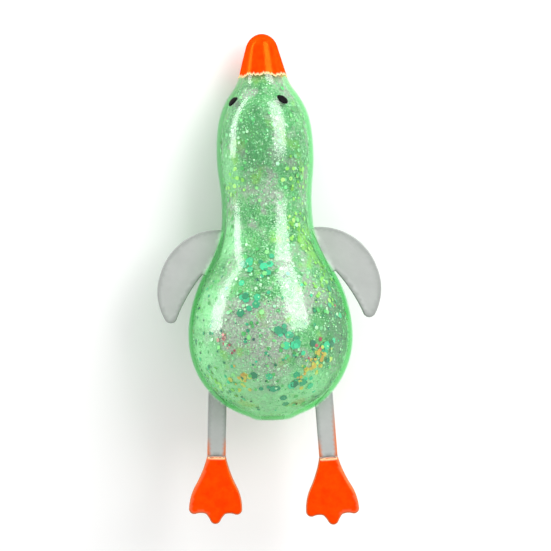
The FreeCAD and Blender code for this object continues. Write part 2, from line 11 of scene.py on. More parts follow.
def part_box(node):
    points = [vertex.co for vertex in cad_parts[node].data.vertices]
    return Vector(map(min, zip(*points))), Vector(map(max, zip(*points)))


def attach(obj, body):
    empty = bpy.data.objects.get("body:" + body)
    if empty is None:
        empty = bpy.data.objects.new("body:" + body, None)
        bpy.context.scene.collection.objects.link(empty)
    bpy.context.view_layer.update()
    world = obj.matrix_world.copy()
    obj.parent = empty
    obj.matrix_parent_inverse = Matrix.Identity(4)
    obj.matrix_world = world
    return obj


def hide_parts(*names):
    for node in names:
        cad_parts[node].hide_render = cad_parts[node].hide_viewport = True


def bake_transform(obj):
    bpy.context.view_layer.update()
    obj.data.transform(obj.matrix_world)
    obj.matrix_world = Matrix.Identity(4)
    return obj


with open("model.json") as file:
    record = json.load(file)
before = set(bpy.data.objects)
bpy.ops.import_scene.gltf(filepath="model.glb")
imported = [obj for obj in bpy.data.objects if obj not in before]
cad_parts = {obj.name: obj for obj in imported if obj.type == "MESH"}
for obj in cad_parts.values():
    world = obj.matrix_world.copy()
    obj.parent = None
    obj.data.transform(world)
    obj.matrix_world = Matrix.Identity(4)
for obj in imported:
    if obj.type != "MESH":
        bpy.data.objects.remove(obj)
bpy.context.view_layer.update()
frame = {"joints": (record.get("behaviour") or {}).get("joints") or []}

# A soft clear squeeze duck, filled with green liquid and glitter, lying on its back.
#
# Everything is drawn in the duck's own frame, in millimetres: X towards its left side, Y from the feet
# to the beak, Z out of the belly, with the origin at the centre of the round bulb. "Out" is the
# distance from the long axis and "along" is along it. own_to_row turns that into the row frame.

MM = 0.001
LEFT, RIGHT = 1, -1
SIDES = {"left": LEFT, "right": RIGHT}
BULGE_LEFT, BULGE_RIGHT = 1, -1

# ---- the duck's own frame

joints = {joint["name"]: joint for joint in frame["joints"]}
Z_AXIS = Vector((0.0, 0.0, 1.0))

NECK_ALONG = 46.0
own_x = Vector((1.0, 0.0, 0.0))
own_z = Vector(joints["neck_bend"]["axis"]).normalized()
own_y = own_z.cross(own_x)
bulb_centre = Vector(joints["neck_bend"]["pos_m"]) - own_y * (NECK_ALONG * MM)

own_to_row = Matrix.Translation(bulb_centre) @ Matrix((own_x, own_y, own_z)).transposed().to_4x4()
own_to_row = own_to_row @ Matrix.Scale(MM, 4)
row_to_own = own_to_row.inverted()
OWN_AXES = own_to_row.to_3x3().normalized()
up_in_own = (row_to_own.to_3x3() @ Z_AXIS).normalized()
down_to_table = own_to_row.translation.z / MM


def row(point):
    """A point of the duck's own frame, in the row frame."""
    return own_to_row @ Vector(point)


def height_over_table(point):
    """How far a point of the duck's own frame is above the table, in millimetres."""
    return down_to_table + up_in_own.dot(point)


def smooth(value):
    """0 below 0, 1 above 1, and smooth between."""
    value = min(max(value, 0.0), 1.0)
    return value * value * (3.0 - 2.0 * value)


# ---- outlines


def arc_points(start, end, bulge, radius, steps):
    """Points of an arc from start up to, but not including, end."""
    chord = end - start
    half = chord.length / 2.0
    left = Vector((-chord.y, chord.x)).normalized()
    centre = (start + end) / 2.0 - left * (bulge * math.sqrt(radius * radius - half * half))
    first = math.atan2(start.y - centre.y, start.x - centre.x)
    sweep = -bulge * 2.0 * math.asin(half / radius)
    points = []
    for number in range(steps):
        angle = first + sweep * number / steps
        points.append(centre + Vector((math.cos(angle), math.sin(angle))) * radius)
    return points


def outline_points(corners, step, closed=True, straight_step=None):
    """Follow corners of (across, along), or (across, along, bulge, radius) where an arc starts."""
    points = []
    last = len(corners) if closed else len(corners) - 1
    for number in range(last):
        start, arc = Vector(corners[number][:2]), corners[number][2:]
        end = Vector(corners[(number + 1) % len(corners)][:2])
        if arc:
            steps = max(1, round((end - start).length / step))
            points += arc_points(start, end, *arc, steps)
        else:
            steps = max(1, round((end - start).length / (straight_step or step)))
            points += [start.lerp(end, share / steps) for share in range(steps)]
    if not closed:
        points.append(Vector(corners[-1][:2]))
    return points


# The outer surface of the sac, from its base to the tip of the beak.
BULB_RADIUS = 28.5
BEAK_ROOT_ALONG = 91.0
TIP_RADIUS = 5.694
TIP_CENTRE = 99.23
BEAK_SLOPE = math.radians(15.0)
TIP_EDGE_OUT = TIP_RADIUS * math.cos(BEAK_SLOPE)
TIP_EDGE_ALONG = TIP_CENTRE + TIP_RADIUS * math.sin(BEAK_SLOPE)
TIP = TIP_CENTRE + TIP_RADIUS
SAC_CORNERS = [
    (0.0, -BULB_RADIUS, BULGE_RIGHT, BULB_RADIUS),
    (BULB_RADIUS, 0.0, BULGE_RIGHT, 46.0),
    (21.0, 25.15, BULGE_LEFT, 32.6),
    (15.7, 43.0),
    (15.66, NECK_ALONG, BULGE_LEFT, 68.0),
    (16.25, 55.0, BULGE_RIGHT, 68.0),
    (16.85, 64.0, BULGE_RIGHT, 64.0),
    (16.21, 73.0, BULGE_RIGHT, 25.3),
    (11.1, 85.0, BULGE_LEFT, 16.8),
    (8.1, BEAK_ROOT_ALONG),
    (TIP_EDGE_OUT, TIP_EDGE_ALONG, BULGE_RIGHT, TIP_RADIUS),
    (0.0, TIP),
]
OUTLINE_STEP = 1.1
SAC_SEGMENTS = 128
WALL = 1.3
BEAK_COAT = 0.24
COAT_STEP_LENGTH = 1.5
CAVITY_TOP = 92.5
CAVITY_BROW = 90.0
DOME_STEPS = 8
PATCH_BASE = -28.6
PATCH_FLAT_RADIUS = 5.2
PATCH_SLOPE_WIDTH = 6.8
PATCH_RISE = 2.7


def sac_outline():
    """The sac's outline, with the low flat-ended patch at its base, which holds the plug."""
    points = outline_points(SAC_CORNERS, OUTLINE_STEP, closed=False)
    for point in points:
        if point.y < 0.0 and point.x < PATCH_FLAT_RADIUS + PATCH_SLOPE_WIDTH:
            slope = smooth((point.x - PATCH_FLAT_RADIUS) / PATCH_SLOPE_WIDTH)
            point.y = min(point.y, PATCH_BASE + PATCH_RISE * slope)
    return points


def outline_normals(points):
    """The outward direction at each point of an outline that runs up the outside."""
    normals = []
    for number in range(len(points)):
        before = points[max(number - 1, 0)]
        after = points[min(number + 1, len(points) - 1)]
        way = after - before
        normals.append(Vector((way.y, -way.x)).normalized())
    normals[0] = Vector((0.0, -1.0))
    normals[-1] = Vector((0.0, 1.0))
    return normals


SAC = sac_outline()
SAC_NORMALS = outline_normals(SAC)
SAC_ALONGS = [point.y for point in SAC]


def sac_out(along):
    """The sac's radius at a place along the axis."""
    place = bisect.bisect_left(SAC_ALONGS, along)
    place = min(max(place, 1), len(SAC) - 1)
    before, after = SAC[place - 1], SAC[place]
    share = (along - before.y) / max(after.y - before.y, 1e-9)
    return before.x + (after.x - before.x) * share


def sac_slope(along):
    """The angle by which the sac's surface faces towards the beak at a place along the axis."""
    rise = 0.5
    return math.atan2(sac_out(along - rise) - sac_out(along + rise), 2.0 * rise)


def inside_outline(inset):
    """The sac's outline moved inwards and closed by a dome below the beak."""
    points = []
    for point, normal in zip(SAC, SAC_NORMALS):
        moved = point - normal * inset
        if point.y > 0.0 and moved.y > CAVITY_BROW:
            break
        points.append(Vector((max(moved.x, 0.0), moved.y)))
    edge = points[-1]
    top = CAVITY_TOP - (inset - WALL)
    for number in range(1, DOME_STEPS + 1):
        angle = math.pi / 2.0 * number / DOME_STEPS
        points.append(Vector((edge.x * math.cos(angle), edge.y + (top - edge.y) * math.sin(angle))))
    points[-1].x = 0.0
    points[0].x = 0.0
    return points


def room_for_paint(along):
    """How far the sac's surface is under its outline, so that the beak's coat fits there."""
    return BEAK_COAT * smooth((along - BEAK_ROOT_ALONG + COAT_STEP_LENGTH) / COAT_STEP_LENGTH)


def core_outline():
    """The sac's own outer surface: the outline, a coat's thickness lower under the beak's paint."""
    points = [point - normal * room_for_paint(point.y) for point, normal in zip(SAC, SAC_NORMALS)]
    points[-1].x = 0.0
    return points


# ---- meshes

WAVE_SIZE = 16.0
WAVE_HEIGHT = 0.22
WAVE_FADE = 6.0
ON_AXIS = 1e-6


def wave(point):
    """The slight unevenness of a soft moulding, in millimetres."""
    return WAVE_HEIGHT * noise.noise(Vector(point) / WAVE_SIZE)


def outwards_at(turn):
    """The direction straight out of the long axis, at a turn round it from the belly."""
    return Vector((math.sin(turn), 0.0, math.cos(turn)))


def around_at(turn):
    """The direction round the long axis, at a turn."""
    return Vector((math.cos(turn), 0.0, -math.sin(turn)))


def normal_at(turn, slope):
    """The direction straight out of the sac's surface."""
    return outwards_at(turn) * math.cos(slope) + Vector((0.0, math.sin(slope), 0.0))


def place_at(turn, out, along):
    """A point round the long axis, moved by the surface's unevenness, which fades near the axis."""
    place = outwards_at(turn) * out + Vector((0.0, along, 0.0))
    if out > ON_AXIS:
        place += outwards_at(turn) * (wave(place) * smooth(out / WAVE_FADE))
    return place


def skinned(rings):
    """Faces between rings of vertices. A ring of one vertex closes the end."""
    faces = []
    for lower, upper in zip(rings, rings[1:]):
        count = max(len(lower), len(upper))
        for number in range(count):
            after = (number + 1) % count
            corners = [lower[number % len(lower)], lower[after % len(lower)],
                       upper[after % len(upper)], upper[number % len(upper)]]
            face = list(dict.fromkeys(corners))
            if len(face) > 2:
                faces.append(face)
    return faces


def turned(outline, segments):
    """Vertices and faces of an outline turned round the long axis, with its uneven surface."""
    vertices, rings = [], []
    for point in outline:
        ring = []
        for number in range(segments if point.x > ON_AXIS else 1):
            ring.append(len(vertices))
            vertices.append(place_at(math.tau * number / segments, point.x, point.y))
        rings.append(ring)
    return vertices, skinned(rings)


def pressed_on_table(vertices):
    """Flatten what would reach below the table."""
    for vertex in vertices:
        below = -height_over_table(vertex)
        if below > 0.0:
            vertex += up_in_own * below


def add_object(name, data):
    """Put a mesh, a light or a camera into the scene."""
    made = bpy.data.objects.new(name, data)
    bpy.context.scene.collection.objects.link(made)
    return made


def make_piece(name, vertices, faces, material, values=None):
    """A mesh piece from vertices in the duck's own frame. It keeps its resting place as an attribute."""
    mesh = bpy.data.meshes.new(name)
    mesh.from_pydata([own_to_row @ vertex for vertex in vertices], [], faces)
    mesh.validate()
    rest = mesh.attributes.new("rest", "FLOAT_VECTOR", "POINT")
    rest.data.foreach_set("vector", [number for vertex in vertices for number in vertex])
    for key, numbers in (values or {}).items():
        attribute = mesh.attributes.new(key, "FLOAT", "POINT")
        attribute.data.foreach_set("value", numbers)
    mesh.shade_smooth()
    mesh.materials.append(material)
    return add_object(name, mesh)


# ---- materials


class Shader:
    """A material's nodes, added one after another."""

    def __init__(self, name):
        self.material = bpy.data.materials.new(name)
        self.material.use_nodes = True
        self.tree = self.material.node_tree
        self.tree.nodes.clear()
        self.output = self.tree.nodes.new("ShaderNodeOutputMaterial")

    def node(self, kind, inputs=None, **settings):
        """Add a node. An input is given a number, a colour or another node's output."""
        made = self.tree.nodes.new(kind)
        for key, value in settings.items():
            setattr(made, key, value)
        for key, value in (inputs or {}).items():
            socket = made.inputs[key]
            if isinstance(value, bpy.types.NodeSocket):
                self.tree.links.new(value, socket)
            else:
                socket.default_value = (*value, 1.0) if socket.type == "RGBA" else value
        return made

    def plastic(self, inputs):
        """A surface that scatters, mirrors or glows as its inputs say."""
        return self.node("ShaderNodeBsdfPrincipled", inputs).outputs[0]

    def gloss(self, colour, roughness, normal):
        """A surface that only mirrors."""
        inputs = {"Color": colour, "Roughness": roughness, "Normal": normal}
        return self.node("ShaderNodeBsdfAnisotropic", inputs).outputs[0]

    def value(self, key):
        """A number kept on the mesh."""
        return self.node("ShaderNodeAttribute", attribute_name=key).outputs["Fac"]

    def rest(self):
        """The resting place in the duck's own frame, in millimetres."""
        return self.node("ShaderNodeAttribute", attribute_name="rest").outputs["Vector"]

    def math(self, operation, first, second):
        return self.node("ShaderNodeMath", {0: first, 1: second}, operation=operation).outputs[0]

    def times(self, first, second):
        return self.math("MULTIPLY", first, second)

    def scaled(self, value, factor, added):
        """A value times a factor, plus a number."""
        inputs = {0: value, 1: factor, 2: added}
        return self.node("ShaderNodeMath", inputs, operation="MULTIPLY_ADD").outputs[0]

    def vector_math(self, operation, first, second=(0.0, 0.0, 0.0)):
        return self.node("ShaderNodeVectorMath", {0: first, 1: second}, operation=operation)

    def noise(self, vector, scale, detail=3.0, roughness=0.5):
        inputs = {"Vector": vector, "Scale": scale, "Detail": detail, "Roughness": roughness}
        return self.node("ShaderNodeTexNoise", inputs).outputs["Fac"]

    def cells(self, vector, scale):
        """A Voronoi texture: the distance from a cell's middle, the cell's own random colour, and that
        colour's parts as chances."""
        made = self.node("ShaderNodeTexVoronoi", {"Vector": vector, "Scale": scale}).outputs
        parts = self.node("ShaderNodeSeparateColor", {0: made["Color"]}).outputs
        return made["Distance"], made["Color"], parts

    def ramp(self, factor, stops):
        """Colours at places from 0 to 1, and blends between them."""
        made = self.node("ShaderNodeValToRGB", {"Fac": factor})
        ramp = made.color_ramp
        while len(ramp.elements) < len(stops):
            ramp.elements.new(0.5)
        for element, (place, colour) in zip(ramp.elements, stops):
            element.position = place
            element.color = (*colour, 1.0)
        return made.outputs["Color"]

    def step(self, factor, low, high):
        """0 below low, 1 above high, smooth between."""
        inputs = {"Value": factor, "From Min": low, "From Max": high}
        made = self.node("ShaderNodeMapRange", inputs, interpolation_type="SMOOTHSTEP")
        return made.outputs["Result"]

    def mix(self, factor, first, second):
        """A blend of two colours. The node's colour inputs are 6 and 7, and its colour output is 2."""
        return self.node("ShaderNodeMix", {0: factor, 6: first, 7: second}, data_type="RGBA").outputs[2]

    def near(self, vector, centre, radius):
        """1 at a place in the duck's own frame, falling to 0 at a radius from it."""
        apart = self.vector_math("DISTANCE", vector, centre).outputs["Value"]
        return self.step(self.math("DIVIDE", apart, radius), 1.0, 0.35)

    def places(self, vector, listed):
        """The strongest of several places. Each has a centre, a radius and an amount."""
        strongest = 0.0
        for centre, radius, amount in listed:
            here = self.times(self.near(vector, centre, radius), amount)
            strongest = self.math("MAXIMUM", here, strongest)
        return strongest

    def sparkling_normal(self, cell_colour, amount):
        """A normal that every cell tilts its own way, as flakes lie in a liquid."""
        centred = self.vector_math("SUBTRACT", cell_colour, (0.5, 0.5, 0.5)).outputs[0]
        tilt = self.vector_math("MULTIPLY", centred, (amount, amount, amount)).outputs[0]
        normal = self.node("ShaderNodeNewGeometry").outputs["Normal"]
        tilted = self.vector_math("ADD", normal, tilt).outputs[0]
        return self.vector_math("NORMALIZE", tilted).outputs[0]

    def bump(self, height, strength, distance_mm):
        inputs = {"Height": height, "Strength": strength, "Distance": distance_mm * MM}
        return self.node("ShaderNodeBump", inputs).outputs["Normal"]

    def shine(self, strength, most):
        """How much the surface mirrors: it grows towards the rim, up to a limit."""
        fresnel = self.node("ShaderNodeFresnel", {"IOR": 1.45}).outputs["Fac"]
        return self.math("MINIMUM", self.times(fresnel, strength), most)

    def layered(self, factor, below, above):
        """One shader over another."""
        return self.node("ShaderNodeMixShader", {0: factor, 1: below, 2: above}).outputs[0]

    def surface(self, shader_socket):
        self.tree.links.new(shader_socket, self.output.inputs["Surface"])
        return self.material


def skin_material():
    """Clear rubber with a green tint: see-through straight on, deep green along the rim."""
    shader = Shader("tinted_skin")
    clear = shader.node("ShaderNodeBsdfTransparent").outputs[0]
    unevenness = shader.noise(shader.rest(), scale=0.35)
    gloss = shader.gloss((1.0, 1.0, 1.0), 0.15, shader.bump(unevenness, strength=0.25, distance_mm=0.25))
    shine = shader.times(shader.shine(strength=2.2, most=0.09), shader.value("outside"))
    tint = shader.node("ShaderNodeVolumeAbsorption", {"Color": (0.30, 0.90, 0.42), "Density": 200.0})
    shader.tree.links.new(tint.outputs[0], shader.output.inputs["Volume"])
    return shader.surface(shader.layered(shine, clear, gloss))


# Places in the liquid that differ from the rest of it: centre, radius and strength. The clearings hold
# fewer green grains and the olive places yellower ones; the painted-light places are painted paler, as if
# light came through, and the painted-shade places are painted darker.
CLEARINGS = [((-6, 0, 25), 20, 0.20)]
OLIVE_PLACES = [((19, 34, 8), 15, 0.22)]
PAINTED_LIGHT_PLACES = [((0, -26, 6), 18, 0.75), ((-12, -19, 16), 20, 0.80), ((10, -21, 17), 17, 0.80),
              ((-23, -9, 11), 17, 0.75), ((-21, 10, 10), 14, 0.75), ((-14, 34, 6), 11, 0.75),
              ((-14, 57, 8), 12, 0.45)]
PAINTED_SHADE_PLACES = [((25, 4, 11), 17, 0.80), ((-2, 67, 16), 17, 0.52), ((8, 62, 14), 12, 0.42)]
PAINTED_LIGHT_COLOUR = (0.60, 1.00, 0.64)
OLIVE_COLOUR = (0.40, 0.72, 0.09)
PAINTED_SHADE_COLOUR = (0.03, 0.24, 0.08)


def green_glitter(shader, rest, chance):
    """Fine green grains in green liquid that drifts between dark and milky."""
    drifts = shader.noise(rest, scale=0.17, roughness=0.6)
    milky = shader.ramp(drifts, [
        (0.32, (0.01, 0.16, 0.04)), (0.42, (0.03, 0.29, 0.08)), (0.54, (0.11, 0.43, 0.15)),
        (0.66, (0.18, 0.52, 0.15)), (0.76, (0.36, 0.68, 0.36))])
    grains = shader.ramp(chance, [
        (0.00, (0.01, 0.16, 0.05)), (0.25, (0.06, 0.33, 0.12)), (0.60, (0.18, 0.52, 0.22)),
        (0.85, (0.52, 0.80, 0.52)), (1.00, (1.00, 1.00, 0.96))])
    return shader.mix(0.42, milky, grains)


def grey_glitter(shader, chance):
    """Fine pinkish grey grains, where the green ones are few."""
    return shader.ramp(chance, [
        (0.00, (0.46, 0.37, 0.42)), (0.30, (0.60, 0.48, 0.54)), (0.70, (0.72, 0.56, 0.63)),
        (0.86, (0.46, 0.68, 0.46)), (1.00, (1.00, 0.90, 0.94))])


def tinted_by_place(shader, rest, colour):
    """The liquid's colour: painted light makes it paler in some places, olive patches tint it, and painted
    shade darkens it in others.
    """
    # Painted light: paler where light would come through the liquid.
    colour = shader.mix(shader.places(rest, PAINTED_LIGHT_PLACES), colour, PAINTED_LIGHT_COLOUR)
    clouds = shader.noise(rest, scale=0.13, detail=2.0)
    patches = shader.math("ADD", clouds, shader.places(rest, OLIVE_PLACES))
    olive = shader.times(shader.step(patches, 0.60, 0.76), 0.65)
    colour = shader.mix(olive, colour, OLIVE_COLOUR)
    # Painted shade: darker green in these places.
    return shader.mix(shader.places(rest, PAINTED_SHADE_PLACES), colour, PAINTED_SHADE_COLOUR)


def round_dots(shader, rest):
    """Where the small round flakes lie, and their colours."""
    from_middle, _, chance = shader.cells(rest, scale=0.85)
    disc = shader.step(from_middle, 0.34, 0.26)
    chosen = shader.step(chance[0], 0.74, 0.76)
    colour = shader.ramp(chance[1], [
        (0.0, (0.04, 0.36, 0.18)), (0.3, (0.10, 0.60, 0.24)), (0.7, (0.40, 0.90, 0.50)),
        (1.0, (0.90, 1.00, 0.90))])
    return shader.times(disc, chosen), colour


def gel_material():
    """Liquid crowded with fine glitter: green clouds, and paler hazy places that let light through."""
    shader = Shader("glitter_liquid")
    rest = shader.rest()
    clouds = shader.noise(rest, scale=0.11, roughness=0.6)
    crowded = shader.step(shader.math("SUBTRACT", clouds, shader.places(rest, CLEARINGS)), 0.36, 0.52)
    _, grain, chance = shader.cells(rest, scale=2.6)
    colour = shader.mix(crowded, grey_glitter(shader, chance[1]), green_glitter(shader, rest, chance[0]))
    colour = tinted_by_place(shader, rest, colour)
    dots, dot_colour = round_dots(shader, rest)
    colour = shader.mix(shader.times(dots, 0.8), colour, dot_colour)
    return shader.surface(shader.plastic({
        "Base Color": colour, "Metallic": 0.15, "Roughness": 0.42,
        "Alpha": shader.math("MAXIMUM", shader.scaled(crowded, 0.20, 0.78), dots),
        "Normal": shader.sparkling_normal(grain, 0.5)}))


def clear_rubber_material():
    """Greyish clear rubber of the wings and legs, orange under the feet's paint, with painted orange light
    along the straps' edges and painted shade along every rim.
    """
    shader = Shader("clear_rubber")
    rest = shader.rest()
    edge, paint = shader.value("edge"), shader.value("paint")
    clouds = shader.noise(rest, scale=0.20, detail=4.0, roughness=0.6)
    colour = shader.ramp(clouds, [(0.30, (0.44, 0.45, 0.44)), (0.70, (0.48, 0.49, 0.48))])
    # Painted shade: darker grey along the rim of the clear rubber.
    colour = shader.mix(shader.times(edge, 0.50), colour, (0.22, 0.24, 0.225))
    colour = shader.mix(paint, colour, (0.90, 0.18, 0.02))
    # Painted shade: darker orange along the rim where the orange lies.
    orange_rim_shade = shader.times(shader.times(paint, edge), 0.55)
    colour = shader.mix(orange_rim_shade, colour, (0.48, 0.12, 0.02))
    colour = shader.mix(shader.value("root"), colour, (0.85, 0.95, 0.86))
    unevenness = shader.noise(rest, scale=0.9)
    return shader.surface(shader.plastic({
        "Base Color": colour, "Roughness": 0.34, "Alpha": shader.scaled(paint, 0.10, 0.86),
        "Normal": shader.bump(unevenness, strength=0.15, distance_mm=0.3)}))


def plug_material():
    """Milky green rubber of the plug in the filling hole."""
    shader = Shader("plug_rubber")
    clouds = shader.noise(shader.rest(), scale=0.5)
    colour = shader.ramp(clouds, [(0.30, (0.30, 0.66, 0.36)), (0.70, (0.42, 0.78, 0.46))])
    return shader.surface(shader.plastic({"Base Color": colour, "Roughness": 0.4, "Alpha": 0.30}))


def orange_material():
    """Orange paint, slightly uneven, and paler at its edge, where it thins out; on the feet the pale edge
    also holds a painted highlight along the outer rim.
    The beak's coat lining glows: painted light, an emission standing in for daylight that comes through
    the coat."""
    shader = Shader("orange_paint")
    rest = shader.rest()
    clouds = shader.noise(rest, scale=0.35, detail=4.0, roughness=0.6)
    colour = shader.ramp(clouds, [(0.30, (0.90, 0.02, 0.0)), (0.70, (0.94, 0.048, 0.0))])
    flecks = shader.step(shader.noise(rest, scale=1.6, detail=2.0), 0.70, 0.80)
    colour = shader.mix(shader.times(flecks, 0.35), colour, (1.0, 0.22, 0.04))
    # Paler where the paint thins at its edge, and on the feet along a painted highlight on the outer rim.
    colour = shader.mix(shader.value("edge"), colour, (1.0, 0.86, 0.50))
    unevenness = shader.noise(rest, scale=1.1, detail=4.0)
    uneven_paint = shader.bump(unevenness, strength=0.3, distance_mm=0.12)
    # Painted light: the lining's emission stands in for daylight through the coat.
    glow = shader.times(shader.value("lining"), 1.3)
    body = shader.plastic({
        "Base Color": colour, "Roughness": 0.6, "Specular IOR Level": 0.0, "Normal": uneven_paint,
        "Emission Color": (1.0, 0.30, 0.06), "Emission Strength": glow})
    gloss = shader.gloss((1.0, 0.40, 0.02), 0.20, uneven_paint)
    return shader.surface(shader.layered(shader.shine(strength=2.2, most=0.09), body, gloss))


def black_material():
    """Black paint with little gloss."""
    shader = Shader("black_paint")
    unevenness = shader.noise(shader.rest(), scale=1.5)
    colour = shader.ramp(unevenness, [(0.3, (0.0, 0.0, 0.0)), (0.7, (0.003, 0.003, 0.003))])
    return shader.surface(shader.plastic({
        "Base Color": colour, "Roughness": 0.50, "Specular IOR Level": 0.08,
        "Normal": shader.bump(unevenness, strength=0.3, distance_mm=0.1)}))


def foil_material(name, dark, middle, light):
    """Metallic flakes of one colour, each with its own shade."""
    shader = Shader(name)
    colour = shader.ramp(shader.value("shade"), [(0.0, dark), (0.55, middle), (1.0, light)])
    return shader.surface(shader.plastic({"Base Color": colour, "Metallic": 0.30, "Roughness": 0.34}))


def floor_material():
    """Plain pale paper."""
    shader = Shader("floor")
    place = shader.node("ShaderNodeTexCoord").outputs["Object"]
    clouds = shader.noise(place, scale=3.0, detail=4.0)
    colour = shader.ramp(clouds, [(0.3, (0.96, 0.96, 0.96)), (0.7, (0.98, 0.98, 0.98))])
    return shader.surface(shader.plastic({
        "Base Color": colour, "Roughness": 0.9, "Specular IOR Level": 0.1}))


skin_look = skin_material()
gel_look = gel_material()
rubber_look = clear_rubber_material()
plug_look = plug_material()
orange_look = orange_material()
black_look = black_material()

# ---- sac, liquid, plug and beak


def bends_with_neck(piece):
    """The piece crosses the neck; its transform is only baked into its mesh, and nothing bends it."""
    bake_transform(piece)


def build_skin():
    """The sac's wall: an outer surface from the base to the beak's core, and an inner surface."""
    outer, outer_faces = turned(core_outline(), SAC_SEGMENTS)
    pressed_on_table(outer)
    inner, inner_faces = turned(inside_outline(WALL), SAC_SEGMENTS)
    shifted = [[corner + len(outer) for corner in face[::-1]] for face in inner_faces]
    outside = [1.0] * len(outer) + [0.0] * len(inner)
    piece = make_piece("skin", outer + inner, outer_faces + shifted, skin_look, {"outside": outside})
    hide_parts("body_skin", "head_skin")
    bends_with_neck(piece)


GEL_INSET = 1.95


def build_gel():
    """The liquid inside, just clear of the wall."""
    vertices, faces = turned(inside_outline(GEL_INSET), SAC_SEGMENTS)
    piece = make_piece("glitter_liquid", vertices, faces, gel_look)
    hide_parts("body_gel", "head_gel")
    bends_with_neck(piece)


PLUG_RADIUS = 4.0
PLUG_ROUND = 0.5
PLUG_LENGTH = WALL + 1.35
PLUG_SEGMENTS = 48


def build_plug():
    """The plug's round end in the middle of the patch at the base. It fills the hole through the wall."""
    face = SAC[0].y
    back = face + PLUG_LENGTH
    flat = PLUG_RADIUS - PLUG_ROUND
    outline = [(0.0, face - 0.05), (PLUG_RADIUS / 2.0, face - 0.04), (flat, face + 0.02),
               (PLUG_RADIUS - 0.12, face + 0.14), (PLUG_RADIUS, face + PLUG_ROUND),
               (PLUG_RADIUS, back - 0.35), (flat, back - 0.05), (0.0, back)]
    vertices, faces = turned([Vector(corner) for corner in outline], PLUG_SEGMENTS)
    piece = make_piece("fill_plug_end", vertices, faces, plug_look)
    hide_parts("fill_plug")
    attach(piece, "body")


COAT_SEGMENTS = 160
COAT_ROWS = 44
COAT_EDGE_ALONG = 90.3
COAT_EDGE_LENGTH = 0.6
COAT_EDGE_SHARE = 0.25
COAT_EDGE_TUCK = 0.05
LINING_GAP = 0.02
FRINGE = 1.0
TIP_ZONE = 0.6


def coat_edge(turn):
    """Where the beak's paint ends, ragged as paint wiped up to a line."""
    ring = outwards_at(turn)
    broad = noise.noise(ring * 3.0 + Vector((5.0, 0.0, 0.0)))
    ragged = noise.noise(ring * 12.0 + Vector((0.0, 9.0, 0.0)))
    return COAT_EDGE_ALONG + 0.5 * broad + 0.9 * ragged


def coat_point(turn, share, outside):
    """A point of the beak's coat, for a share of 0 at its edge to 1 at the tip, and how far up it is.
    Rows are closer together towards both ends."""
    edge = coat_edge(turn)
    along = TIP - (TIP - edge) * (1.0 - share ** 1.25) ** 1.35
    if share == 0.0 and not outside:
        along += COAT_EDGE_TUCK
    up = along - edge
    thick = BEAK_COAT * smooth(COAT_EDGE_SHARE + up / COAT_EDGE_LENGTH) if outside else LINING_GAP
    if share == 1.0:
        return Vector((0.0, TIP - BEAK_COAT + thick, 0.0)), up
    out = max(sac_out(along) - room_for_paint(along), 0.0)
    slope = sac_slope(min(along, TIP - TIP_ZONE))
    return place_at(turn, out, along) + normal_at(turn, slope) * thick, up


def build_beak_coat():
    """Orange paint over the beak, as a closed skin with a thin ragged edge."""
    vertices, edges, lining, rings = [], [], [], []
    for outside in (False, True):
        for number in range(COAT_ROWS):
            share = number / (COAT_ROWS - 1)
            ring = []
            for column in range(COAT_SEGMENTS if share < 1.0 else 1):
                point, up = coat_point(math.tau * column / COAT_SEGMENTS, share, outside)
                ring.append(len(vertices))
                vertices.append(point)
                edges.append(1.0 - smooth(up / FRINGE))
                lining.append(0.0 if outside else 1.0)
            rings.append(ring)
    inner, outer = rings[:COAT_ROWS], rings[COAT_ROWS:]
    faces = skinned(inner[::-1] + outer)
    # The lining value marks the coat's inner side, which is lit by painted light.
    piece = make_piece("beak_paint", vertices, faces, orange_look, {"edge": edges, "lining": lining})
    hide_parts("beak_coat")
    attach(piece, "head")


EYE_HALF_LENGTH = 2.2
EYE_HALF_WIDTH = 1.5
EYE_SLANT = math.radians(39.0)
EYE_HEIGHT = 0.38
EYE_RIM_SUNK = 0.12
EYE_SUNK = 0.25
EYE_UNEVENNESS = 0.10
EYE_SEGMENTS = 40
EYE_ROWS = 9


def build_eye(word, side):
    """A flattened drop of paint with a slightly uneven edge, where the CAD model has it."""
    low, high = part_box("eye_" + word)
    middle = row_to_own @ ((Vector(low) + Vector(high)) / 2.0)
    turn, along = math.atan2(middle.x, middle.z), middle.y
    centre = place_at(turn, sac_out(along), along)
    normal = normal_at(turn, sac_slope(along))
    around = around_at(turn)
    uphill = normal.cross(around)
    lengthwise = around * (math.cos(EYE_SLANT) * side) - uphill * math.sin(EYE_SLANT)
    crosswise = normal.cross(lengthwise)
    vertices = [centre + normal * EYE_HEIGHT]
    rings = [[0]]
    for number in range(1, EYE_ROWS + 1):
        share = number / EYE_ROWS
        rim = EYE_RIM_SUNK if number == EYE_ROWS else 0.0
        rings.append([len(vertices) + column for column in range(EYE_SEGMENTS)])
        for column in range(EYE_SEGMENTS):
            angle = math.tau * column / EYE_SEGMENTS
            uneven = EYE_UNEVENNESS * noise.noise(Vector((math.cos(angle), math.sin(angle), along)) * 1.3)
            flat = lengthwise * (EYE_HALF_LENGTH * math.cos(angle))
            flat += crosswise * (EYE_HALF_WIDTH * math.sin(angle))
            flat *= share * (1.0 + uneven)
            curved_away = flat.length_squared / (2.0 * sac_out(along))
            lift = EYE_HEIGHT * math.sqrt(max(1.0 - share ** 2.6, 0.0))
            vertices.append(centre + flat + normal * (lift - curved_away - rim))
    rings.append([len(vertices)])
    vertices.append(centre - normal * EYE_SUNK)
    piece = make_piece("eye_dot_" + word, vertices, skinned(rings[::-1]), black_look)
    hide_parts("eye_" + word)
    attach(piece, "head")


build_skin()
build_gel()
build_plug()
build_beak_coat()
for word, side in SIDES.items():
    build_eye(word, side)

# ---- flat pieces: wings, legs and feet


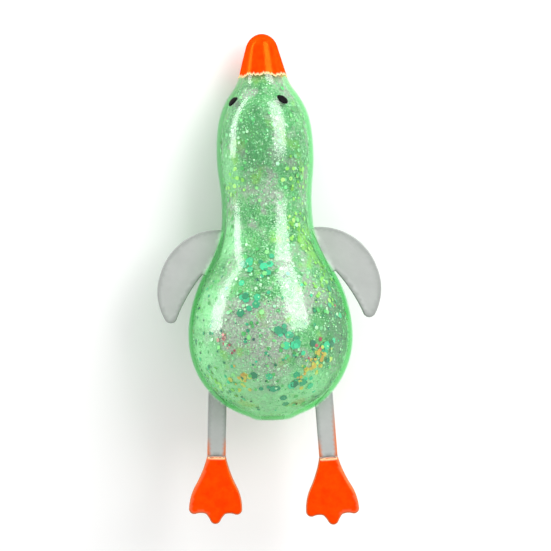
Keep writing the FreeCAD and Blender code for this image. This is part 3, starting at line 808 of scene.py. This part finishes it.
def inset_ring(points, inset, cut_along=None):
    """A closed outline moved inwards. What lies on a cut end stays on it."""
    on_cut = [cut_along is not None and abs(point.y - cut_along) < 1e-6 for point in points]
    cut_half = max([abs(point.x) for point, cut in zip(points, on_cut) if cut], default=1.0)
    moved = []
    count = len(points)
    for number, point in enumerate(points):
        if on_cut[number]:
            moved.append(Vector((point.x * (cut_half - inset) / cut_half, point.y)))
            continue
        before = (point - points[number - 1]).normalized()
        after = (points[(number + 1) % count] - point).normalized()
        way = before + after
        outward = Vector((way.y, -way.x)).normalized()
        cosine = max(outward.dot(Vector((after.y, -after.x))), 0.5)
        moved.append(point - outward * (inset / cosine))
    return moved


def sides_of(ring):
    """The two ends of each side of a closed outline."""
    return zip(ring, ring[1:] + ring[:1])


def inside(point, ring):
    """True if a point is inside a closed outline."""
    within = False
    for first, second in sides_of(ring):
        if (first.y > point.y) != (second.y > point.y):
            across = first.x + (point.y - first.y) / (second.y - first.y) * (second.x - first.x)
            if point.x < across:
                within = not within
    return within


def distance_to_ring(point, ring):
    """How far a point is from a closed outline."""
    nearest = math.inf
    for first, second in sides_of(ring):
        edge = second - first
        share = min(max((point - first).dot(edge) / max(edge.length_squared, 1e-12), 0.0), 1.0)
        nearest = min(nearest, (point - first - edge * share).length)
    return nearest


def filled(ring, step):
    """Triangles over the inside of an outline, with extra points spread through it."""
    points = list(ring)
    left, low = min(point.x for point in ring), min(point.y for point in ring)
    columns = int((max(point.x for point in ring) - left) / step)
    rows = int((max(point.y for point in ring) - low) / step)
    for number in range(1, rows + 1):
        for column in range(columns + 1):
            shift = 0.5 * step * (number % 2)
            place = Vector((left + column * step + shift, low + number * step))
            if inside(place, ring) and distance_to_ring(place, ring) > 0.55 * step:
                points.append(place)
    edges = [(number, (number + 1) % len(ring)) for number in range(len(ring))]
    _, _, triangles, origins, _, _ = delaunay_2d_cdt(points, edges, [], 1, 1e-5)
    index = [origin[0] for origin in origins]
    return points, [[index[corner] for corner in triangle] for triangle in triangles]


RIM_FADE = 0.5
DISH_EDGE = 1.2


def plate_side(ring, height, outwards, fill_step, dish):
    """One flat side of a plate, sunk inside its rim by the depth of its dish."""
    points, triangles = filled(ring, fill_step)
    vertices, edge_values, faces = [], [], []
    for point in points:
        from_rim = distance_to_ring(point, ring)
        sunk = dish * smooth(from_rim / DISH_EDGE)
        vertices.append(Vector((point.x, point.y, height - outwards * sunk)))
        edge_values.append(1.0 - smooth(from_rim / RIM_FADE))
    for triangle in triangles:
        a, b, c = [points[corner] for corner in triangle]
        anticlockwise = (b - a).cross(c - a) > 0.0
        faces.append(triangle if anticlockwise == (outwards > 0.0) else triangle[::-1])
    return vertices, edge_values, faces


def plate(ring, profile, place, fill_step=1.1, dish=0.0, cut_along=None):
    """A flat closed piece. profile lists (inset, height) from the back round the edge to the front.
    Its vertices are given in its own frame and in the duck's, with a value that is 1 along the rim."""
    vertices, edge_values, faces, loops = [], [], [], []
    last = len(profile) - 1
    for number, (inset, height) in enumerate(profile):
        moved = inset_ring(ring, inset, cut_along)
        first = len(vertices)
        loops.append([first + corner for corner in range(len(moved))])
        if number in (0, last):
            outwards = 1.0 if number == last else -1.0
            side_vertices, side_values, triangles = plate_side(moved, height, outwards, fill_step, dish)
            vertices += side_vertices
            edge_values += side_values
            faces += [[first + corner for corner in triangle] for triangle in triangles]
        else:
            vertices += [Vector((point.x, point.y, height)) for point in moved]
            edge_values += [1.0] * len(moved)
    faces += skinned(loops)
    if place.to_3x3().determinant() < 0.0:
        faces = [face[::-1] for face in faces]
    return vertices, [place @ vertex for vertex in vertices], faces, edge_values


def counter_clockwise(points):
    """The same outline, with its inside on the left."""
    area = sum(first.x * second.y - second.x * first.y for first, second in sides_of(points))
    return points if area > 0.0 else points[::-1]


def frame_at(joint, x_axis, y_axis):
    """A frame in the duck's own millimetres, at a joint."""
    matrix = Matrix((x_axis, y_axis, Z_AXIS)).transposed().to_4x4()
    matrix.translation = row_to_own @ Vector(joint["pos_m"])
    return matrix


def axis_in_own(joint):
    """A joint's axis in the duck's own frame."""
    return (row_to_own.to_3x3() @ Vector(joint["axis"])).normalized()


def blend_over(piece):
    """Bake a flat piece's transform into its mesh. Nothing bends it at the hinge."""
    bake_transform(piece)


# A wing in its own frame: X out of the body, Y along the root, which reaches into the sac's wall.
WING_HALF_THICK = 1.25
WING_ROOT_DEPTH = 2.9
WING_ROOT_HALF = 8.35
WING_CORNERS = [
    (-WING_ROOT_DEPTH, WING_ROOT_HALF),
    (-WING_HALF_THICK, WING_ROOT_HALF, BULGE_LEFT, 21.0),
    (12.35, -13.0, BULGE_LEFT, 19.0),
    (5.3, -27.4, BULGE_LEFT, 2.34),
    (1.3, -26.5, BULGE_RIGHT, 56.0),
    (-WING_HALF_THICK, -WING_ROOT_HALF),
    (-WING_ROOT_DEPTH, -WING_ROOT_HALF),
]
WING_PROFILE = [(0.50, -1.25), (0.22, -1.16), (0.05, -0.85), (0.0, -0.4),
                (0.0, 0.4), (0.05, 0.85), (0.22, 1.16), (0.50, 1.25)]
ROOT_FADE = 0.8
WING_STEP = 0.8
WING_ROOT_STEP = 3.0
WING_DISH = 0.30


def rubber_piece(name, replaced, vertices, faces, edge, paint):
    """A piece of clear rubber. Its root is whatever lies inside the sac."""
    root = []
    for vertex in vertices:
        depth = sac_out(vertex.y) - math.hypot(vertex.x, vertex.z)
        root.append(smooth(0.5 + depth / ROOT_FADE))
    piece = make_piece(name, vertices, faces, rubber_look, {"edge": edge, "paint": paint, "root": root})
    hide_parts(replaced)
    return piece


def build_wing(word, side):
    """A flap of clear rubber, dished inside a rounded rim, with its root reaching into the sac's wall."""
    joint = joints["wing_%s_flap" % word]
    y_axis = axis_in_own(joint) * -side
    x_axis = y_axis.cross(Z_AXIS) * side
    place = frame_at(joint, x_axis, y_axis)
    ring = counter_clockwise(outline_points(WING_CORNERS, WING_STEP, straight_step=WING_ROOT_STEP))
    _, vertices, faces, edge = plate(ring, WING_PROFILE, place, dish=WING_DISH)
    unpainted = [0.0] * len(vertices)
    piece = rubber_piece("wing_flap_" + word, "wing_" + word, vertices, faces, edge, unpainted)
    blend_over(piece)


STRAP_HALF = 3.2
STRAP_INNER_RISE = 4.0
STRAP_OUTER_RISE = 8.6
STRAP_BLUNT = 1.6
STRAP_STEP = 1.3
SEAM_DROP = 14.3
STRAP_PROFILE = [(0.45, -1.5), (0.20, -1.42), (0.05, -1.15), (0.0, -0.5),
                 (0.0, 0.5), (0.05, 1.15), (0.20, 1.42), (0.45, 1.5)]
GLOW_REACH = 6.0
OUTER_GLOW_REACH = 16.0


def leg_frame(word):
    """The frame of a leg at its hip: X to the duck's left, Y up the leg."""
    joint = joints["leg_%s_swing" % word]
    x_axis = -axis_in_own(joint)
    return frame_at(joint, x_axis, Z_AXIS.cross(x_axis))


def bends_at_ankle(piece):
    """The piece crosses the ankle; its transform is only baked into its mesh, and nothing bends it."""
    blend_over(piece)


def piped_orange_glow(vertex, side):
    """Painted light: how much orange light, piped up from the foot through the clear rubber, is painted
    along a strap's edges. The left strap's outer edge has most.
    """
    at_edge = smooth((abs(vertex.x) - 2.2) / 0.8)
    reach = OUTER_GLOW_REACH if side == LEFT and vertex.x > 0.0 else GLOW_REACH
    return 0.9 * at_edge * smooth(1.2 - (vertex.y + SEAM_DROP) / reach)


def build_leg(word, side):
    """The strap from inside the bulb's wall down to where the foot's paint begins."""
    place = leg_frame(word)
    inner, outer = -STRAP_HALF * side, STRAP_HALF * side
    corners = [(inner, STRAP_INNER_RISE), (inner, -SEAM_DROP), (outer, -SEAM_DROP),
               (outer, STRAP_OUTER_RISE), (outer - STRAP_BLUNT * side, STRAP_OUTER_RISE)]
    ring = counter_clockwise(outline_points(corners, STRAP_STEP))
    local, vertices, faces, edge = plate(ring, STRAP_PROFILE, place, fill_step=0.8, cut_along=-SEAM_DROP)
    # On a strap the paint value is painted orange light along its edges, not paint.
    paint = [piped_orange_glow(vertex, side) for vertex in local]
    piece = rubber_piece("leg_strap_" + word, "leg_" + word, vertices, faces, edge, paint)
    blend_over(piece)


# One half of a foot, from the seam on the strap to the middle toe.
FOOT_HALF = [
    (STRAP_HALF, -SEAM_DROP, BULGE_RIGHT, 40.0),
    (7.2, -24.9, BULGE_LEFT, 17.0),
    (9.2, -32.4, BULGE_LEFT, 1.9),
    (7.0, -34.7, BULGE_RIGHT, 5.0),
    (3.3, -34.6, BULGE_RIGHT, 8.0),
    (1.7, -37.0, BULGE_LEFT, 1.9),
]
WEB_STEP = 0.55


def foot_ring(step):
    """A webbed foot's outline: both halves, and the straight cut at the top."""
    corners = list(FOOT_HALF)
    for number in range(len(FOOT_HALF) - 1, -1, -1):
        across, along = FOOT_HALF[number][:2]
        arc = FOOT_HALF[number - 1][2:] if number else ()
        corners.append((-across, along, *arc))
    return counter_clockwise(outline_points(corners, step))


def build_foot(word):
    """The foot's clear web, glowing orange from the paint on its front."""
    place = leg_frame(word)
    ring = foot_ring(WEB_STEP)
    local, vertices, faces, edge = plate(ring, STRAP_PROFILE, place, fill_step=0.9, cut_along=-SEAM_DROP)
    paint = [smooth((-SEAM_DROP - 0.2 - vertex.y) / 0.6) for vertex in local]
    piece = rubber_piece("foot_web_" + word, "foot_" + word, vertices, faces, edge, paint)
    bends_at_ankle(piece)


COAT_PROFILE = [(0.12, 1.30), (0.02, 1.40), (0.04, 1.60), (0.12, 1.72)]
COAT_STEP = 0.62
COAT_INSET = 0.40
COAT_TOP_DROP = 0.30
PALE_LENGTH = 1.9
PALE_MOST = 0.8
OUTER_RIM_HIGHLIGHT = 0.11


def ragged_top(point, side):
    """How far the coat's top edge is from a straight line, which fades towards the strap's edges."""
    ragged = 0.55 * noise.noise(Vector((point.x * 0.9, 3.0 * side, 0.0)))
    ragged += 0.35 * noise.noise(Vector((point.x * 1.4, 7.0 * side, 4.0)))
    return (ragged - COAT_TOP_DROP) * smooth((STRAP_HALF - 0.2 - abs(point.x)) / 0.9)


def paleness(vertex, ring, side):
    """How pale the paint is: thinnest at the top edge, and lighter along the outer rim as a painted
    highlight.
    """
    from_rim = distance_to_ring(Vector((vertex.x, vertex.y)), ring)
    near_rim = smooth(1.0 - (from_rim - 0.1) / 0.5)
    from_top = -SEAM_DROP + 0.5 - vertex.y
    top = PALE_MOST * near_rim * smooth((PALE_LENGTH - from_top) / 0.6)
    # Painted highlight: paler paint along the outer rim.
    painted_rim_highlight = OUTER_RIM_HIGHLIGHT * smooth(vertex.x * side - 2.0) * smooth(2.0 * near_rim)
    return max(top, painted_rim_highlight)


def build_foot_coat(word, side):
    """Orange paint on the front of a foot, with a ragged top edge on the strap."""
    place = leg_frame(word)
    ring = inset_ring(foot_ring(COAT_STEP), COAT_INSET)
    for point in ring:
        if point.y > -SEAM_DROP - COAT_INSET - 0.01:
            point.y += ragged_top(point, side)
    local, vertices, faces, _ = plate(ring, COAT_PROFILE, place, fill_step=0.8)
    pale_edge_and_highlight = [paleness(vertex, ring, side) for vertex in local]
    piece = make_piece("foot_paint_" + word, vertices, faces, orange_look, {"edge": pale_edge_and_highlight})
    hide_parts("foot_coat_" + word)
    bends_at_ankle(piece)


for word, side in SIDES.items():
    build_wing(word, side)
    build_leg(word, side)
    build_foot(word)
    build_foot_coat(word, side)

# ---- glitter flakes

FLAKE_DEPTHS = (1.45, 1.90)
FLAKE_THICK = 0.08
BELLY = (-27.5, 26.0)
WHOLE_SAC = (-28.5, 88.0)


def random_place(draw, along_range, clusters):
    """A place along and a turn round the axis: spread out, or near one of the clusters."""
    if clusters:
        turn, along, spread = draw.choice(clusters)
        along += draw.gauss(0.0, spread)
        return along, math.radians(turn) + draw.gauss(0.0, spread) / max(sac_out(along), 8.0)
    low, high = along_range
    while True:
        along = draw.uniform(low, high)
        if draw.random() < sac_out(along) / BULB_RADIUS:
            return along, draw.uniform(0.0, math.tau)


def hexagon(vertices, faces, centre, normal, around, radius, thick):
    """Add one flake: a hexagonal plate, or a single face if it has no thickness. Counts its corners."""
    beside = normal.cross(around)
    rings = []
    for level in ((-0.5, 0.5) if thick else (0.0,)):
        rings.append([len(vertices) + number for number in range(6)])
        for number in range(6):
            angle = math.pi / 3.0 * number
            flat = around * math.cos(angle) + beside * math.sin(angle)
            vertices.append(centre + flat * radius + normal * (level * thick))
    if thick:
        faces.append(rings[0][::-1])
    faces.append(rings[-1])
    faces += skinned(rings)
    return 6 * len(rings)


def build_flakes(name, look, seed, count, radii, tilt, replaced=(), along_range=WHOLE_SAC,
                 clusters=None, thick=FLAKE_THICK):
    """Flakes of one colour just inside the wall, each tilted its own way."""
    draw = random.Random(seed)
    vertices, faces, shades = [], [], []
    for _ in range(count):
        along, turn = random_place(draw, along_range, clusters)
        depth = draw.uniform(*FLAKE_DEPTHS)
        normal = normal_at(turn, sac_slope(along))
        surface = outwards_at(turn) * sac_out(along) + Vector((0.0, along, 0.0))
        lean = Vector((draw.gauss(0.0, tilt), draw.gauss(0.0, tilt), draw.gauss(0.0, tilt)))
        tilted = (normal + lean).normalized()
        around = tilted.cross(Vector((0.3, 1.0, 0.2))).normalized()
        around = Matrix.Rotation(draw.uniform(0.0, math.pi / 3.0), 3, tilted) @ around
        radius = draw.uniform(*radii)
        corners = hexagon(vertices, faces, surface - normal * depth, tilted, around, radius, thick)
        shades += [draw.random()] * corners
    piece = make_piece(name, vertices, faces, look, {"shade": shades})
    piece.data.shade_flat()
    if replaced:
        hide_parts(*replaced)
    bends_with_neck(piece)


emerald = foil_material("emerald_foil", (0.01, 0.22, 0.13), (0.02, 0.50, 0.30), (0.06, 0.74, 0.48))
green = foil_material("green_foil", (0.06, 0.40, 0.10), (0.14, 0.66, 0.22), (0.50, 0.95, 0.42))
lime = foil_material("lime_foil", (0.22, 0.52, 0.05), (0.42, 0.82, 0.14), (0.80, 1.00, 0.36))
mint = foil_material("mint_foil", (0.25, 0.62, 0.35), (0.55, 0.88, 0.60), (0.95, 1.00, 0.90))
dark = foil_material("dark_foil", (0.002, 0.05, 0.05), (0.005, 0.14, 0.12), (0.02, 0.28, 0.20))
gold = foil_material("gold_foil", (1.00, 0.42, 0.08), (1.00, 0.70, 0.14), (0.95, 0.95, 0.25))
pink = foil_material("pink_foil", (0.55, 0.04, 0.10), (0.95, 0.16, 0.26), (1.00, 0.45, 0.50))

# Where flakes gather: degrees round the axis, place along it, and spread in millimetres.
EMERALD_CLUSTERS = [
    (10, 3, 1.8), (18, -1.5, 1.6), (-4, -14, 2), (26, -15, 2.2), (40, -18, 2), (7, -22, 2.4), (0, 27, 2.2),
    (-20, 24, 2), (-16, 13, 2.4), (62, 14, 3.5), (42, -4, 3), (130, 8, 9), (-110, 0, 9), (180, 0, 9)]
LIME_CLUSTERS = [
    (50, 38, 3), (58, 31, 3), (64, 24, 3), (48, 17, 3.5), (56, 55, 4), (-60, -16, 4), (-50, 52, 3)]
GOLD_CLUSTERS = [(41, -7, 2.6), (30, -10, 3), (-28, -14, 2.5), (160, 5, 9), (-120, -5, 7)]
PINK_CLUSTERS = [(-36, 0, 2), (-34, -6, 2.5), (36, -5, 4), (150, -6, 8), (90, 8, 6)]

build_flakes("flakes_emerald", emerald, 11, 84, (0.80, 1.55), tilt=0.04, thick=0.12,
             clusters=EMERALD_CLUSTERS, replaced=["body_flakes_green", "head_flakes_green"])
build_flakes("flakes_emerald_small", emerald, 12, 190, (0.40, 0.75), tilt=0.08, along_range=BELLY)
build_flakes("flakes_green", green, 13, 300, (0.45, 0.95), tilt=0.10)
build_flakes("flakes_lime", lime, 20, 150, (0.35, 0.85), tilt=0.10, clusters=LIME_CLUSTERS)
build_flakes("flakes_mint", mint, 14, 420, (0.40, 0.75), tilt=0.12)
build_flakes("flakes_dark", dark, 15, 120, (0.30, 0.60), tilt=0.06, along_range=BELLY)
build_flakes("flakes_gold", gold, 16, 90, (0.40, 1.05), tilt=0.08, clusters=GOLD_CLUSTERS,
             replaced=["body_flakes_gold"])
build_flakes("flakes_pink", pink, 17, 34, (0.35, 0.80), tilt=0.08, clusters=PINK_CLUSTERS,
             replaced=["body_flakes_pink"])
build_flakes("glitter_green_fine", green, 18, 3500, (0.14, 0.28), tilt=0.35, thick=0)
build_flakes("glitter_mint_fine", mint, 19, 6500, (0.14, 0.28), tilt=0.35, thick=0)

# ---- floor, light and camera

FLOOR_DROP = 0.0003
FLOOR_HALF = 3.0


def build_floor():
    """A sheet of paper, a hair below the duck's back."""
    mesh = bpy.data.meshes.new("floor")
    signs = [(-1, -1), (1, -1), (1, 1), (-1, 1)]
    corners = [(x * FLOOR_HALF, y * FLOOR_HALF, -FLOOR_DROP) for x, y in signs]
    mesh.from_pydata(corners, [], [[0, 1, 2, 3]])
    mesh.materials.append(floor_material())
    floor = add_object("floor", mesh)


SOFTBOX_AIM = Vector((0.0, 30.0, 0.0))
SOFTBOX_DISTANCE = 0.60
SOFTBOX_HEIGHT = 0.62
SOFTBOX_RISE = math.radians(31.0)
WORLD_STRENGTH = 0.80


def add_aimed(name, data, point, axes):
    """Add a light or a camera, at a point and along axes that are given in the duck's own frame."""
    made = add_object(name, data)
    made.matrix_world = Matrix.Translation(row(point)) @ (OWN_AXES @ axes).to_4x4()
    return made


def add_softbox(name, turn, width, power):
    """An area light that faces the duck: turned round its long axis from straight above, and raised
    towards the beak."""
    towards = normal_at(turn, SOFTBOX_RISE)
    across = around_at(turn)
    centre = SOFTBOX_AIM + towards * (SOFTBOX_DISTANCE / MM)
    light = bpy.data.lights.new(name, "AREA")
    light.shape = "RECTANGLE"
    light.size = width
    light.size_y = SOFTBOX_HEIGHT
    light.energy = power
    add_aimed(name, light, centre, Matrix((across, towards.cross(across), towards)).transposed())


def build_light():
    """Even light from all round, and a softbox on each side for the long highlights."""
    world = bpy.data.worlds.new("studio")
    world.use_nodes = True
    background = world.node_tree.nodes["Background"]
    background.inputs["Color"].default_value = (1.0, 1.0, 1.0, 1.0)
    background.inputs["Strength"].default_value = WORLD_STRENGTH
    bpy.context.scene.world = world
    add_softbox("softbox_right", math.radians(38.0), width=0.30, power=3.3)
    add_softbox("softbox_left", math.radians(-84.0), width=0.26, power=2.8)


CAMERA_DISTANCE = 0.80
SENSOR_WIDTH = 36.0
PICTURE_WIDTH_MM = 191.0
AIM = (2.3, 21.3, 0.0)
ROLL = math.radians(-1.78)


def build_camera():
    """A camera straight above the belly, far enough away for little perspective."""
    camera = bpy.data.cameras.new("camera")
    camera.sensor_width = SENSOR_WIDTH
    camera.lens = SENSOR_WIDTH * CAMERA_DISTANCE / (PICTURE_WIDTH_MM * MM)
    camera.clip_start = 0.01
    above = Vector(AIM) + Z_AXIS * (CAMERA_DISTANCE / MM)
    bpy.context.scene.camera = add_aimed("camera", camera, above, Matrix.Rotation(ROLL, 3, "Z"))


build_floor()
build_light()
build_camera()
bpy.context.scene.view_settings.view_transform = "Standard"
